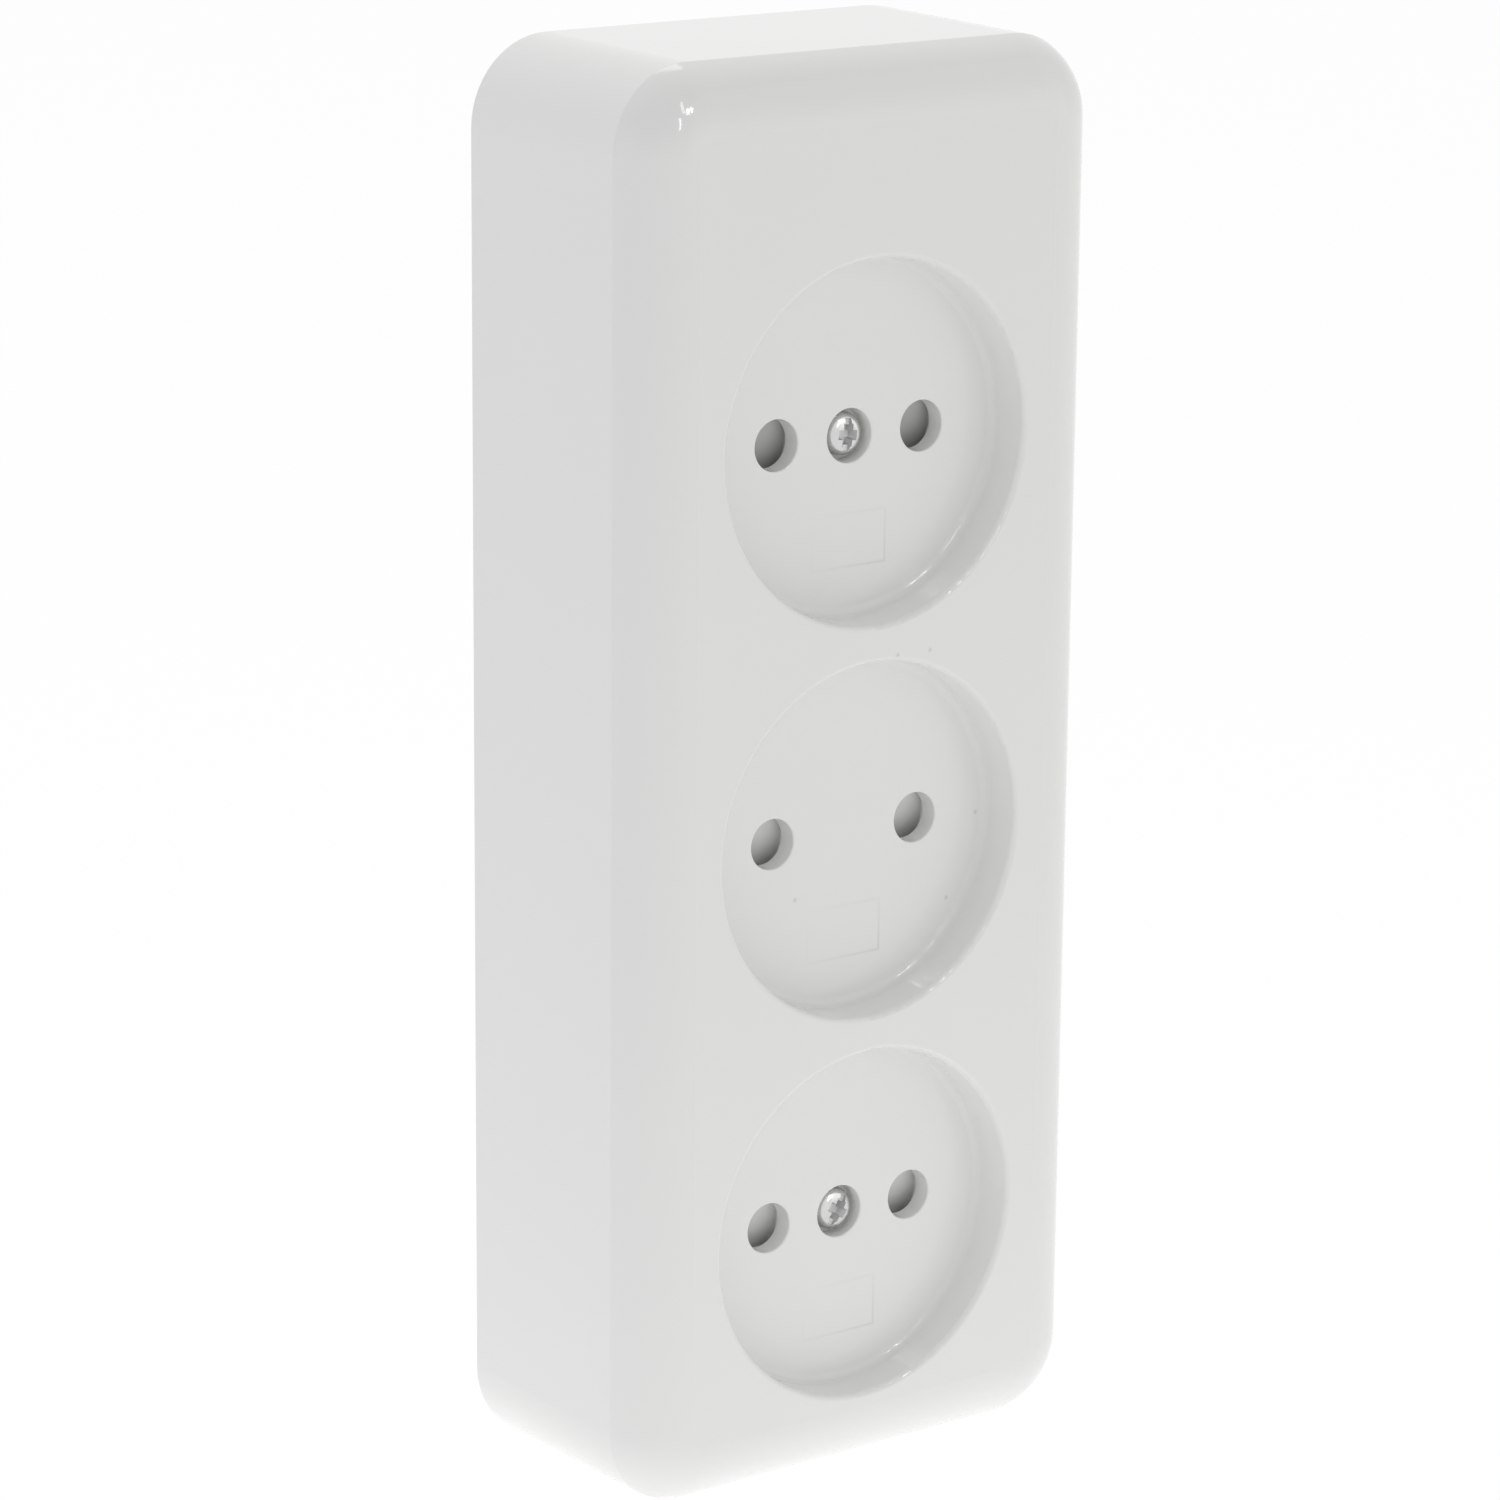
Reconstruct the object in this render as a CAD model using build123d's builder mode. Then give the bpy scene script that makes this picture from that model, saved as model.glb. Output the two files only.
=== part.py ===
from build123d import *
from math import cos, radians
import os

os.makedirs("parts", exist_ok=True)

# A triple surface socket for two round pins: a one-piece cover with three round wells, screwed to a
# base that carries two contact rails. Millimetres. The wall is the plane Y = 0, the room is towards
# -Y, and +Z is up. The origin is the middle of the back. Heights are measured from the wall.

# Outside of the cover: the wells set its size, with flat land round and between them
MOUTH_R = 19.4
SIDE_LAND = 11.1
WELL_LAND = 4.0
TOP_LAND = 21.5
BOTTOM_LAND = 9.1
DEPTH = 30.0
CORNER_R = 9.4
FRONT_R = 7.5
DRAFT = 0.9
WALL = 2.2
RIB_T = 1.2
RIB_DROP = 5.0
KNOCKOUT_W = 14.0
KNOCKOUT_H = 10.0
KNOCKOUT_SKIN = 1.0

# Wells that take the round plugs, and their pin holes
WELL_DEPTH = 4.9
WELL_DRAFT = 2.0
WELL_FLOOR_R = 1.0
RIM_R = 0.6
FLOOR_T = 2.2
PIN_SPACING = 19.0
PIN_R = 2.4
PIN_GAP = 0.35
HOLE_EDGE_R = 0.2

# Cover screws, M3 with a pan head sunk in the well floor
HEAD_HOLE_R = 2.9
HEAD_GAP = 0.55
HEAD_H = 2.0
HEAD_SUNK = 0.3
SHANK_R = 1.5
SHANK_GAP = 0.2
BOSS_R = 4.1
NUT_WIDTH = 5.5
NUT_H = 2.4
NUT_SEAT = 4.8
THREAD_GAP = 0.05
HEAD_ROUNDING = 0.5
RECESS_LENGTH = 1.2
RECESS_WIDTH = 0.5
RECESS_DEPTH = 0.5

# Safety shutters, which slide up behind the pin holes
SHUTTER_T = 3.4
SHUTTER_GAP = 0.3
SHUTTER_ARM = 10.2
SHUTTER_OVERLAP = 0.85
BRIDGE_H = 4.2
BRIDGE_CORNER_R = 1.0
RAMP_TIP = 1.8
RAMP_MARGIN = 0.65
SLIDE_GAP = 0.25
TRAVEL = 6.2
GUIDE_T = 1.4
SPRING_LEN = 10.0
SPRING_R = 1.6
SPRING_WIRE = 0.45
SPRING_TURNS = 5
WIRE_SIDES = 8
PEG_LENGTH = 1.4
STOP_W = 6.4

# Base
BASE_T = 3.0
BASE_GAP = 0.3
UPSTAND_T = 1.4
UPSTAND_H = 4.0
TOWER_WALL = 1.4
CHAMBER_W = 8.6
CHAMBER_L = 14.0
POST_WALL = 1.4
SPINE_T = 1.6
SPINE_DROP = 6.7
TERMINAL_SPINE = 14.0
FIXING_R = 2.25
FIXING_HEAD_R = 4.2
FIXING_SPACE = 5.6
ENTRY_W = 20.0
ENTRY_H = 8.0
ENTRY_EDGE = 2.4

# Contact rails, contacts and their fastenings
RAIL_W = 7.0
RAIL_T = 0.8
RAIL_SEAT = 4.2
RAIL_GAP = 0.2
RAIL_CORNER_R = 1.0
TERMINAL_END = 4.8
LEAF_T = 0.6
FOOT_W = 6.6
FOOT_L = 13.0
ROOT_GAP = 0.5
PIN_PINCH = 0.1
GRIP_START = 0.45
FLARE = 0.8
SLIT = 1.4
MOUTH_DROP = 0.8
RING_T = 0.5
RING_GAP = 0.03
RING_INSET = 0.4
RIVET_R = 1.0
RIVET_HEAD_R = 1.35
RIVET_HEAD_H = 0.45
RIVET_EDGE = 0.1
RAIL_SCREW_R = 1.45
RAIL_SCREW_HEAD_R = 2.7
RAIL_SCREW_HEAD_H = 1.8
RAIL_SCREW_FLOOR = 0.9

# Terminals
TERMINAL_DROP = 6.2
TERMINAL_R = 2.0
TERMINAL_HEAD_R = 3.5
TERMINAL_HEAD_H = 2.4
CLAMP_SIZE = 8.0
CLAMP_T = 1.2
CLAMP_CORNER_R = 0.8
SQUARE_NUT = 7.0
SQUARE_NUT_H = 2.5
NUT_GAP = 0.1

# Places and sizes worked out from those above
WIDTH = 2 * (SIDE_LAND + MOUTH_R)
WELL_PITCH = 2 * MOUTH_R + WELL_LAND
HEIGHT = TOP_LAND + 2 * MOUTH_R + 2 * WELL_PITCH + BOTTOM_LAND
TOP_WELL_Z = HEIGHT / 2 - TOP_LAND - MOUTH_R
PLACES = ["top", "middle", "bottom"]
WELL_Z = [TOP_WELL_Z - i * WELL_PITCH for i in range(3)]
SCREWED_Z = [WELL_Z[0], WELL_Z[2]]
BETWEEN_Z = [(WELL_Z[0] + WELL_Z[1]) / 2, (WELL_Z[1] + WELL_Z[2]) / 2]
POLES = {"live": -PIN_SPACING / 2, "neutral": PIN_SPACING / 2}
PIN_HOLE_R = PIN_R + PIN_GAP
FLOOR_FRONT = DEPTH - WELL_DEPTH
FLOOR_BACK = FLOOR_FRONT - FLOOR_T
SHUTTER_FRONT = FLOOR_BACK - SHUTTER_GAP
SHUTTER_BACK = SHUTTER_FRONT - SHUTTER_T
TOWER_TOP = SHUTTER_BACK - SHUTTER_GAP
POST_R = NUT_WIDTH / 2 / cos(radians(30)) + POST_WALL
SHUTTER_LOW = -(PIN_HOLE_R + SHUTTER_OVERLAP)
SLOT_R = BOSS_R + SLIDE_GAP
BRIDGE_TOP = SLOT_R + BRIDGE_H
SHUTTER_HALF = SLOT_R + SHUTTER_ARM
RAMP_HALF = PIN_HOLE_R + RAMP_MARGIN
SPRING_HEIGHT = (SHUTTER_FRONT + SHUTTER_BACK) / 2
RAIL_TOP = RAIL_SEAT + RAIL_T
FOOT_TOP = RAIL_TOP + LEAF_T
SLEEVE_TOP = TOWER_TOP - MOUTH_DROP
GRIP_R = PIN_R - PIN_PINCH
GRIP_LOW = FOOT_TOP + (SLEEVE_TOP - FOOT_TOP) * GRIP_START
GRIP_HIGH = SLEEVE_TOP - 2 * FLARE
RIVET_DZ = FOOT_L / 2 - RIVET_HEAD_R - RIVET_EDGE
RIVET_Z = [z + side * RIVET_DZ for z in WELL_Z for side in (-1, 1)]
BASE_W = WIDTH - 2 * (WALL + BASE_GAP)
BASE_H = HEIGHT - 2 * (WALL + BASE_GAP)
BASE_CORNER_R = CORNER_R - WALL - BASE_GAP
ENTRY_Z = BASE_H / 2 - ENTRY_EDGE - ENTRY_H / 2
TERMINAL_Z = ENTRY_Z - ENTRY_H / 2 - TERMINAL_DROP
RAIL_HIGH_Z = TERMINAL_Z + TERMINAL_END
RAIL_LOW_Z = WELL_Z[2] - CHAMBER_L / 2 + RAIL_GAP
RAIL_Z = (RAIL_LOW_Z + RAIL_HIGH_Z) / 2
RAIL_L = RAIL_HIGH_Z - RAIL_LOW_Z
TOWER_W = CHAMBER_W + 2 * TOWER_WALL
TOWER_L = CHAMBER_L + 2 * TOWER_WALL
NEAR = 0.01


def wall_plane(height):
    """A plane parallel to the wall at this height, facing the room. Its Y is the part's Z."""
    return Plane.XZ.offset(height)


def turning_plane(x, z):
    """A plane across an axis that stands on the wall at x, z: X to the side, Y away from the wall."""
    return Plane(origin=(x, 0, z), x_dir=(1, 0, 0), z_dir=(0, 0, -1))


def side_plane(x, z):
    """A plane seen from the side: X is up the socket, Y is away from the wall."""
    return Plane(origin=(x, 0, z), x_dir=(0, 0, 1), z_dir=(1, 0, 0))


def hole_plane(x, height, z):
    """Where a hole starts that is sunk from the room towards the wall."""
    return Plane(origin=(x, -height, z), x_dir=(1, 0, 0), z_dir=(0, -1, 0))


def round_edges_at(piece, height):
    """The circular edges that lie at this height."""
    return piece.edges().filter_by(GeomType.CIRCLE).filter_by_position(Axis.Y, -height - NEAR, -height + NEAR)


def finish(piece, name):
    """Labels a finished piece and writes it."""
    piece.part.label = name
    export_step(piece.part, f"parts/{name}.step")


# The space inside the cover, with what the moulding leaves standing in it
with BuildPart() as hollow:
    with BuildSketch(wall_plane(0)):
        RectangleRounded(WIDTH - 2 * WALL, HEIGHT - 2 * WALL, CORNER_R - WALL)
    extrude(amount=DEPTH - WALL, taper=DRAFT)
    fillet(hollow.faces().sort_by(Axis.Y)[0].edges(), FRONT_R - WALL)

    # A thin panel in the top end, which is broken out for a surface cable
    with BuildSketch(wall_plane(0)):
        with Locations((0, HEIGHT / 2 - WALL)):
            Rectangle(KNOCKOUT_W, 2 * (WALL - KNOCKOUT_SKIN))
    extrude(amount=KNOCKOUT_H)

    # Cups behind the front, which become the wells, with ribs that tie them to the walls
    with BuildSketch(wall_plane(FLOOR_BACK)):
        with Locations(*[(0, z) for z in WELL_Z]):
            Circle(MOUTH_R + WALL)
    extrude(amount=DEPTH - FLOOR_BACK, mode=Mode.SUBTRACT)
    side_rib_x = WIDTH / 2 - SIDE_LAND / 2
    end_rib_z = HEIGHT / 2 - TOP_LAND / 2
    with BuildSketch(wall_plane(FLOOR_BACK - RIB_DROP)):
        with Locations(*[(x, z) for x in (-side_rib_x, side_rib_x) for z in WELL_Z]):
            Rectangle(SIDE_LAND, RIB_T)
        with Locations(*[(x, end_rib_z) for x in POLES.values()]):
            Rectangle(RIB_T, TOP_LAND)
    extrude(amount=DEPTH - FLOOR_BACK + RIB_DROP, mode=Mode.SUBTRACT)

    # Bosses: the outer two take the cover screws, and all three guide the shutters
    with BuildSketch(wall_plane(TOWER_TOP)):
        with Locations(*[(0, z) for z in WELL_Z]):
            Circle(BOSS_R)
    extrude(amount=FLOOR_BACK - TOWER_TOP, mode=Mode.SUBTRACT)

    # Guide rails beside each shutter
    guide_x = SHUTTER_HALF + SLIDE_GAP + GUIDE_T / 2
    guide_l = BRIDGE_TOP + TRAVEL - SHUTTER_LOW
    guide_z = SHUTTER_LOW + guide_l / 2
    with BuildSketch(wall_plane(SHUTTER_BACK)):
        with Locations(*[(x, z + guide_z) for x in (-guide_x, guide_x) for z in WELL_Z]):
            Rectangle(GUIDE_T, guide_l)
    extrude(amount=FLOOR_BACK - SHUTTER_BACK, mode=Mode.SUBTRACT)

    # The stop above each spring, which reaches the front where it isn't on a cup
    stop_z = BRIDGE_TOP + SPRING_LEN + GUIDE_T / 2
    with BuildSketch(wall_plane(SHUTTER_BACK)):
        with Locations(*[(0, z + stop_z) for z in WELL_Z]):
            Rectangle(STOP_W, GUIDE_T)
    extrude(amount=DEPTH - SHUTTER_BACK, mode=Mode.SUBTRACT)


# The cover is one moulding: a drafted box with a rounded front, hollowed from the back. The rounding
# belongs to the straight block, so the draft of the sides leaves a fine edge all the way round it.
with BuildPart() as cover:
    with BuildSketch(wall_plane(0)):
        RectangleRounded(WIDTH, HEIGHT, CORNER_R)
    extrude(amount=DEPTH)
    fillet(cover.faces().sort_by(Axis.Y)[0].edges(), FRONT_R)
    with BuildSketch(wall_plane(0)):
        RectangleRounded(WIDTH, HEIGHT, CORNER_R)
    extrude(amount=DEPTH, taper=DRAFT, mode=Mode.INTERSECT)
    add(hollow.part, mode=Mode.SUBTRACT)

    # The wells, with a soft corner at the floor and a crisp rim
    with BuildSketch(wall_plane(DEPTH)):
        with Locations(*[(0, z) for z in WELL_Z]):
            Circle(MOUTH_R)
    extrude(amount=-WELL_DEPTH, taper=WELL_DRAFT, mode=Mode.SUBTRACT)
    fillet(round_edges_at(cover, FLOOR_FRONT), WELL_FLOOR_R)
    fillet(cover.faces().sort_by(Axis.Y)[0].inner_wires().edges(), RIM_R)

    # Pin holes
    with BuildSketch(wall_plane(FLOOR_FRONT)):
        with Locations(*[(x, z) for x in POLES.values() for z in WELL_Z]):
            Circle(PIN_HOLE_R)
    extrude(amount=-FLOOR_T, mode=Mode.SUBTRACT)

    # Screw holes, counterbored so that the heads sit in the floor
    with Locations(*[hole_plane(0, FLOOR_FRONT, z) for z in SCREWED_Z]):
        CounterBoreHole(
            radius=SHANK_R + SHANK_GAP,
            counter_bore_radius=HEAD_HOLE_R,
            counter_bore_depth=HEAD_SUNK + HEAD_H,
            depth=FLOOR_FRONT - TOWER_TOP,
        )

    # Every hole in the floors is eased at its mouth
    mouths = round_edges_at(cover, FLOOR_FRONT)
    fillet(mouths.filter_by(lambda edge: edge.radius < HEAD_HOLE_R + NEAR), HOLE_EDGE_R)
finish(cover, "cover")


# The base sits inside the cover's rim and carries the contact rails
with BuildPart() as base:
    with BuildSketch(wall_plane(0)):
        RectangleRounded(BASE_W, BASE_H, BASE_CORNER_R)
    extrude(amount=BASE_T)
    with BuildSketch(wall_plane(BASE_T)):
        RectangleRounded(BASE_W, BASE_H, BASE_CORNER_R)
        offset(amount=-UPSTAND_T, mode=Mode.SUBTRACT)
        with Locations((0, BASE_H / 2)):
            Rectangle(KNOCKOUT_W, 4 * UPSTAND_T, mode=Mode.SUBTRACT)
    extrude(amount=UPSTAND_H)

    # Pads under the rails, and a tower round each contact
    with BuildSketch(wall_plane(BASE_T)):
        with Locations(*[(x, RAIL_Z) for x in POLES.values()]):
            Rectangle(TOWER_W, RAIL_L + 2 * TOWER_WALL)
    extrude(amount=RAIL_SEAT - BASE_T)
    with BuildSketch(wall_plane(BASE_T)):
        with Locations(*[(x, z) for x in POLES.values() for z in WELL_Z]):
            Rectangle(TOWER_W, TOWER_L)
    extrude(amount=TOWER_TOP - BASE_T)

    # The spine keeps the poles apart, and leaves room for the wall screws
    with BuildSketch(wall_plane(BASE_T)):
        with Locations(*[(0, z) for z in WELL_Z]):
            Rectangle(SPINE_T, WELL_PITCH - 2 * FIXING_SPACE)
        with Locations((0, TERMINAL_Z)):
            Rectangle(SPINE_T, TERMINAL_SPINE)
    extrude(amount=TOWER_TOP - SPINE_DROP - BASE_T)

    # Posts that meet the cover's bosses
    with BuildSketch(wall_plane(0)):
        with Locations(*[(0, z) for z in SCREWED_Z]):
            Circle(POST_R)
    extrude(amount=TOWER_TOP)

    # Chambers for the contacts, and the slot that lets each rail in from the front
    with BuildSketch(wall_plane(RAIL_SEAT)):
        with Locations(*[(x, z) for x in POLES.values() for z in WELL_Z]):
            Rectangle(CHAMBER_W, CHAMBER_L)
        with Locations(*[(x, RAIL_Z) for x in POLES.values()]):
            Rectangle(RAIL_W + 2 * RAIL_GAP, RAIL_L + 2 * RAIL_GAP)
    extrude(amount=TOWER_TOP - RAIL_SEAT, mode=Mode.SUBTRACT)

    # Pockets for the nuts of the cover screws, open towards the wall
    with BuildSketch(wall_plane(0)):
        with Locations(*[(0, z) for z in SCREWED_Z]):
            RegularPolygon(NUT_WIDTH / 2 + NUT_GAP, 6, major_radius=False)
    extrude(amount=NUT_SEAT, mode=Mode.SUBTRACT)
    with Locations(*[hole_plane(0, TOWER_TOP, z) for z in SCREWED_Z]):
        Hole(radius=SHANK_R + SHANK_GAP, depth=TOWER_TOP)

    # Pockets for the terminal nuts, and pilot holes for the rail screws
    with BuildSketch(wall_plane(RAIL_SEAT)):
        with Locations(*[(x, TERMINAL_Z) for x in POLES.values()]):
            Rectangle(SQUARE_NUT + 2 * NUT_GAP, SQUARE_NUT + 2 * NUT_GAP)
    extrude(amount=-(SQUARE_NUT_H + NUT_GAP), mode=Mode.SUBTRACT)
    with Locations(*[hole_plane(x, RAIL_SEAT, z) for x in POLES.values() for z in BETWEEN_Z]):
        Hole(radius=RAIL_SCREW_R + THREAD_GAP, depth=RAIL_SEAT - RAIL_SCREW_FLOOR)

    # Wall screw holes and the cable entry
    with Locations(*[hole_plane(0, BASE_T, z) for z in BETWEEN_Z]):
        CounterSinkHole(
            radius=FIXING_R,
            counter_sink_radius=FIXING_HEAD_R,
            counter_sink_angle=90,
            depth=BASE_T,
        )
    with BuildSketch(wall_plane(0)):
        with Locations((0, ENTRY_Z)):
            SlotOverall(ENTRY_W, ENTRY_H)
    extrude(amount=BASE_T, mode=Mode.SUBTRACT)
finish(base, "base")


# A shutter is an arch over the boss, with a ramp under each pin hole
def make_shutter(z):
    with BuildPart() as shutter:
        with BuildSketch(wall_plane(SHUTTER_BACK)):
            with Locations((0, z + (SHUTTER_LOW + BRIDGE_TOP) / 2)):
                Rectangle(2 * SHUTTER_HALF, BRIDGE_TOP - SHUTTER_LOW)
            with Locations((0, z)):
                Circle(SLOT_R, mode=Mode.SUBTRACT)
            with Locations((0, z + SHUTTER_LOW / 2)):
                Rectangle(2 * SLOT_R, -SHUTTER_LOW, mode=Mode.SUBTRACT)
        extrude(amount=SHUTTER_T)
        upright = shutter.edges().filter_by(Axis.Y)
        fillet(upright.group_by(Axis.Z)[-1], BRIDGE_CORNER_R)

        # Both ramps sink towards the bottom edge, so that a pair of pins pushes the shutter up
        for x in POLES.values():
            with BuildSketch(side_plane(x, z)):
                with BuildLine():
                    Polyline(
                        (RAMP_HALF, SHUTTER_FRONT),
                        (SHUTTER_LOW, SHUTTER_BACK + RAMP_TIP),
                        (SHUTTER_LOW, SHUTTER_FRONT),
                        close=True,
                    )
                make_face()
            extrude(amount=RAMP_HALF, both=True, mode=Mode.SUBTRACT)

        # The peg that the spring sits on
        with BuildSketch(Plane.XY.offset(z + BRIDGE_TOP)):
            with Locations((0, -SPRING_HEIGHT)):
                Circle(SPRING_R - SPRING_WIRE - SLIDE_GAP)
        extrude(amount=PEG_LENGTH)
    return shutter


# Its return spring stands on the arch, against the stop behind the well
def make_spring(z):
    wire_r = SPRING_WIRE / 2
    coil_h = SPRING_LEN - SPRING_WIRE
    start = Plane(origin=(0, -SPRING_HEIGHT, z + BRIDGE_TOP + wire_r))
    with BuildPart() as spring:
        with BuildLine(start) as wire:
            Helix(pitch=coil_h / SPRING_TURNS, height=coil_h, radius=SPRING_R - wire_r)
        with BuildSketch(Plane(origin=wire.line @ 0, z_dir=wire.line % 0)):
            RegularPolygon(wire_r, WIRE_SIDES)
        sweep(is_frenet=True)
    return spring


for place, z in zip(PLACES, WELL_Z):
    finish(make_shutter(z), f"shutter_{place}")
    finish(make_spring(z), f"shutter_spring_{place}")


# A contact is a foot with a split sleeve that grips the pin, pinched in the middle and flared in front
def make_contact(x, z):
    inner = [
        (PIN_R + ROOT_GAP, FOOT_TOP),
        (GRIP_R, GRIP_LOW),
        (GRIP_R, GRIP_HIGH),
        (GRIP_R + FLARE, SLEEVE_TOP),
    ]
    outer = [(r + LEAF_T, height) for r, height in reversed(inner)]
    with BuildPart() as contact:
        with BuildSketch(turning_plane(x, z)):
            with BuildLine():
                Polyline(*inner, *outer, close=True)
            make_face()
        revolve(axis=Axis((x, 0, z), (0, -1, 0)))
        with BuildSketch(wall_plane(FOOT_TOP + LEAF_T)):
            with Locations((x, z)):
                Rectangle(SLIT, FOOT_L)
        extrude(amount=SLEEVE_TOP - FOOT_TOP, mode=Mode.SUBTRACT)
        with BuildSketch(wall_plane(RAIL_TOP)):
            with Locations((x, z)):
                RectangleRounded(FOOT_W, FOOT_L, RIVET_HEAD_R)
        extrude(amount=LEAF_T)
        with Locations(*[hole_plane(x, FOOT_TOP, z + dz) for dz in (-RIVET_DZ, RIVET_DZ)]):
            Hole(radius=RIVET_R + THREAD_GAP, depth=LEAF_T)
    return contact


# A steel ring with a gap holds the two halves of the sleeve against the pin
def make_grip_ring(x, z):
    ring_r = GRIP_R + LEAF_T + RING_GAP
    with BuildPart() as ring:
        with BuildSketch(wall_plane(GRIP_LOW + RING_INSET)):
            with Locations((x, z)):
                Circle(ring_r + RING_T)
                Circle(ring_r, mode=Mode.SUBTRACT)
            with Locations((x, z + ring_r)):
                Rectangle(SLIT, ring_r, mode=Mode.SUBTRACT)
        extrude(amount=GRIP_HIGH - GRIP_LOW - 2 * RING_INSET)
    return ring


# A rail is a flat strip under its three contacts, with a terminal at the top
def make_rail(x):
    with BuildPart() as rail:
        with BuildSketch(wall_plane(RAIL_SEAT)):
            with Locations((x, RAIL_Z)):
                RectangleRounded(RAIL_W, RAIL_L, RAIL_CORNER_R)
        extrude(amount=RAIL_T)
        with Locations(*[hole_plane(x, RAIL_TOP, z) for z in RIVET_Z]):
            Hole(radius=RIVET_R + THREAD_GAP, depth=RAIL_T)
        with Locations(*[hole_plane(x, RAIL_TOP, z) for z in BETWEEN_Z]):
            Hole(radius=RAIL_SCREW_R + SHANK_GAP, depth=RAIL_T)
        with Locations(hole_plane(x, RAIL_TOP, TERMINAL_Z)):
            Hole(radius=TERMINAL_R + SHANK_GAP, depth=RAIL_T)
    return rail


# Rivets through the feet and the rail, flush behind the rail
def make_rivets(x):
    with BuildPart() as rivets:
        with BuildSketch(wall_plane(RAIL_SEAT)):
            with Locations(*[(x, z) for z in RIVET_Z]):
                Circle(RIVET_R)
        extrude(amount=FOOT_TOP - RAIL_SEAT)
        with BuildSketch(wall_plane(FOOT_TOP)):
            with Locations(*[(x, z) for z in RIVET_Z]):
                Circle(RIVET_HEAD_R)
        extrude(amount=RIVET_HEAD_H)
    return rivets


def make_pan_screw(x, z, seat, end, shank_r, head_r, head_h):
    """A pan-head screw whose head rests at this height, with a cross and slot recess."""
    recess_l = head_r * RECESS_LENGTH
    recess_w = shank_r * RECESS_WIDTH
    with BuildPart() as screw:
        with BuildSketch(wall_plane(end)):
            with Locations((x, z)):
                Circle(shank_r)
        extrude(amount=seat - end)
        with BuildSketch(wall_plane(seat)):
            with Locations((x, z)):
                Circle(head_r)
        extrude(amount=head_h)
        fillet(screw.faces().sort_by(Axis.Y)[0].edges(), head_h * HEAD_ROUNDING)
        with BuildSketch(wall_plane(seat + head_h)):
            with Locations((x, z)):
                Rectangle(recess_l, recess_w)
                Rectangle(recess_w, recess_l)
        extrude(amount=-head_h * RECESS_DEPTH, mode=Mode.SUBTRACT)
    return screw


# The terminal: a square nut in the base, and a clamp plate under the screw's head
def make_terminal_nut(x):
    with BuildPart() as nut:
        with BuildSketch(wall_plane(RAIL_SEAT - SQUARE_NUT_H)):
            with Locations((x, TERMINAL_Z)):
                Rectangle(SQUARE_NUT, SQUARE_NUT)
                Circle(TERMINAL_R + THREAD_GAP, mode=Mode.SUBTRACT)
        extrude(amount=SQUARE_NUT_H)
    return nut


def make_clamp_plate(x):
    with BuildPart() as plate:
        with BuildSketch(wall_plane(RAIL_TOP)):
            with Locations((x, TERMINAL_Z)):
                RectangleRounded(CLAMP_SIZE, CLAMP_SIZE, CLAMP_CORNER_R)
                Circle(TERMINAL_R + SHANK_GAP, mode=Mode.SUBTRACT)
        extrude(amount=CLAMP_T)
    return plate


for pole, x in POLES.items():
    finish(make_rail(x), f"{pole}_rail")
    finish(make_rivets(x), f"{pole}_rivets")
    for place, z in zip(PLACES, WELL_Z):
        finish(make_contact(x, z), f"{pole}_contact_{place}")
        finish(make_grip_ring(x, z), f"{pole}_grip_ring_{place}")

    # Screws that hold the rail to the base
    rail_screw_end = RAIL_SCREW_FLOOR + NUT_GAP
    with BuildPart() as rail_screws:
        for z in BETWEEN_Z:
            rail_screw = make_pan_screw(
                x, z, RAIL_TOP, rail_screw_end, RAIL_SCREW_R, RAIL_SCREW_HEAD_R, RAIL_SCREW_HEAD_H
            )
            add(rail_screw.part)
    finish(rail_screws, f"{pole}_rail_screws")

    finish(make_terminal_nut(x), f"{pole}_terminal_nut")
    finish(make_clamp_plate(x), f"{pole}_clamp_plate")
    terminal_seat = RAIL_TOP + CLAMP_T
    terminal_end = RAIL_SEAT - SQUARE_NUT_H + NUT_GAP
    terminal_screw = make_pan_screw(
        x, TERMINAL_Z, terminal_seat, terminal_end, TERMINAL_R, TERMINAL_HEAD_R, TERMINAL_HEAD_H
    )
    finish(terminal_screw, f"{pole}_terminal_screw")


# Cover screws, and the hexagon nuts that they pull up from behind
def make_cover_nut(z):
    with BuildPart() as nut:
        with BuildSketch(wall_plane(NUT_SEAT - NUT_H)):
            with Locations((0, z)):
                RegularPolygon(NUT_WIDTH / 2, 6, major_radius=False)
                Circle(SHANK_R + THREAD_GAP, mode=Mode.SUBTRACT)
        extrude(amount=NUT_H)
    return nut


head_seat = FLOOR_FRONT - HEAD_SUNK - HEAD_H
screw_end = NUT_SEAT - NUT_H - NUT_GAP
for place, z in zip(["top", "bottom"], SCREWED_Z):
    cover_screw = make_pan_screw(0, z, head_seat, screw_end, SHANK_R, HEAD_HOLE_R - HEAD_GAP, HEAD_H)
    finish(cover_screw, f"cover_screw_{place}")
    finish(make_cover_nut(z), f"cover_nut_{place}")
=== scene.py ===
# %% [markdown]
# A triple surface socket for two round pins, dressed for a studio picture. Its construction is already
# done: each solid arrives as a mesh, in metres, with the wall at Y = 0 and +Z up the wall. This file
# adds the camera, the stage and the light, then the finishes, and then the pieces whose small forms
# are easier to model here: the springs and the two cover screws.

from math import cos, pi, radians, sin, sqrt

import bpy
from mathutils import Matrix, Vector


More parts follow.
